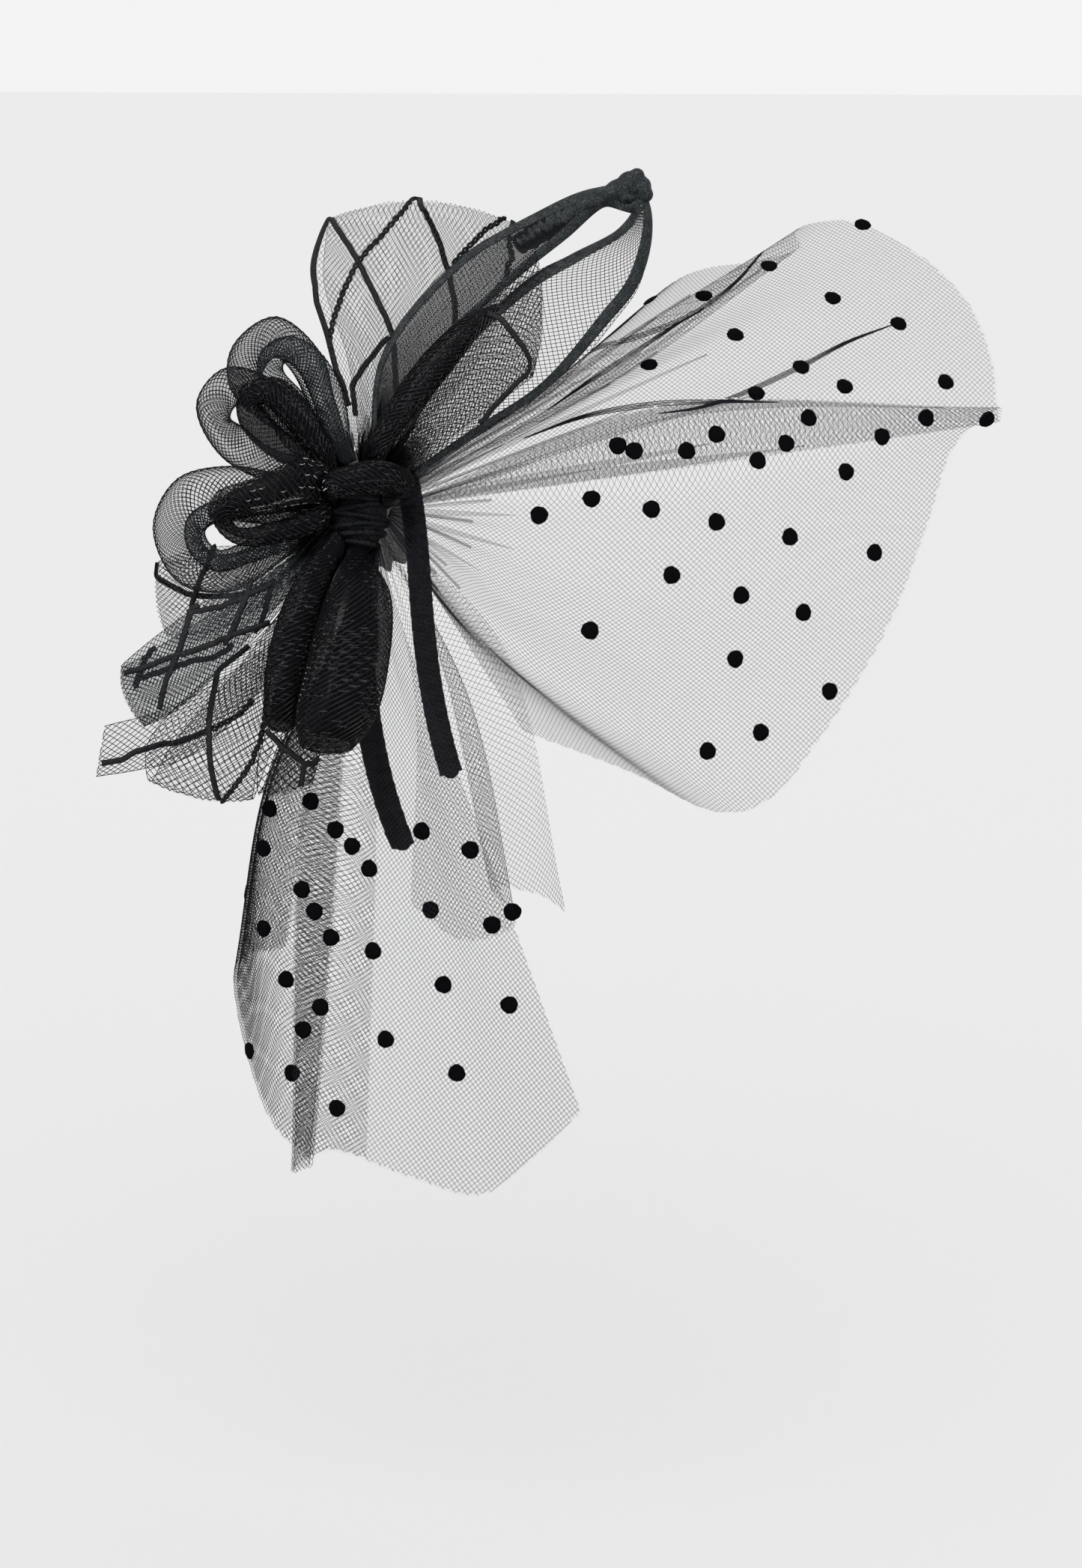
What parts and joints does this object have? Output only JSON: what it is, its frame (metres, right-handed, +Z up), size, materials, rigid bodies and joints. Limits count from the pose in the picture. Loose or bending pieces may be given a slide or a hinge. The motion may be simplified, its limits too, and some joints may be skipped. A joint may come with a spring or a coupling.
{
  "type": "veil fascinator",
  "caption": "black fascinator on a narrow headband, with a side knot of mesh crin loops and curls and a dotted tulle veil that fans over the face and falls behind the neck",
  "frame": {"origin": "the inner crown point of the headband, where it rests on top of the head", "axes": "+X is the way the wearer faces, +Y is the wearer's left, +Z is up; the flower is on the wearer's right, at -Y"},
  "size_m": [0.3668, 0.2062, 0.413],
  "materials": {
    "velvet": "matt black fabric covering",
    "crin": "black braided mesh with a slight sheen",
    "tulle": "black dotted net"
  },
  "bodies": {
    "root": {"headband": "velvet", "centre_knot": "crin", "tip_knot": "crin", "tall_lattice_loop": "crin", "pointed_loop": "crin", "front_leaf_loop": "crin", "upper_curl": "crin", "left_curl": "crin", "ring_curl": "crin", "front_tube_loop": "crin", "rear_loop": "crin", "side_lattice_loop": "crin", "low_lattice_loop": "crin", "cut_tail": "crin", "hanging_tube_left": "crin", "hanging_tube_right": "crin", "coarse_loop": "crin", "veil_front": "tulle", "veil_jabot": "tulle", "veil_back": "tulle"}
  },
  "joints": []
}
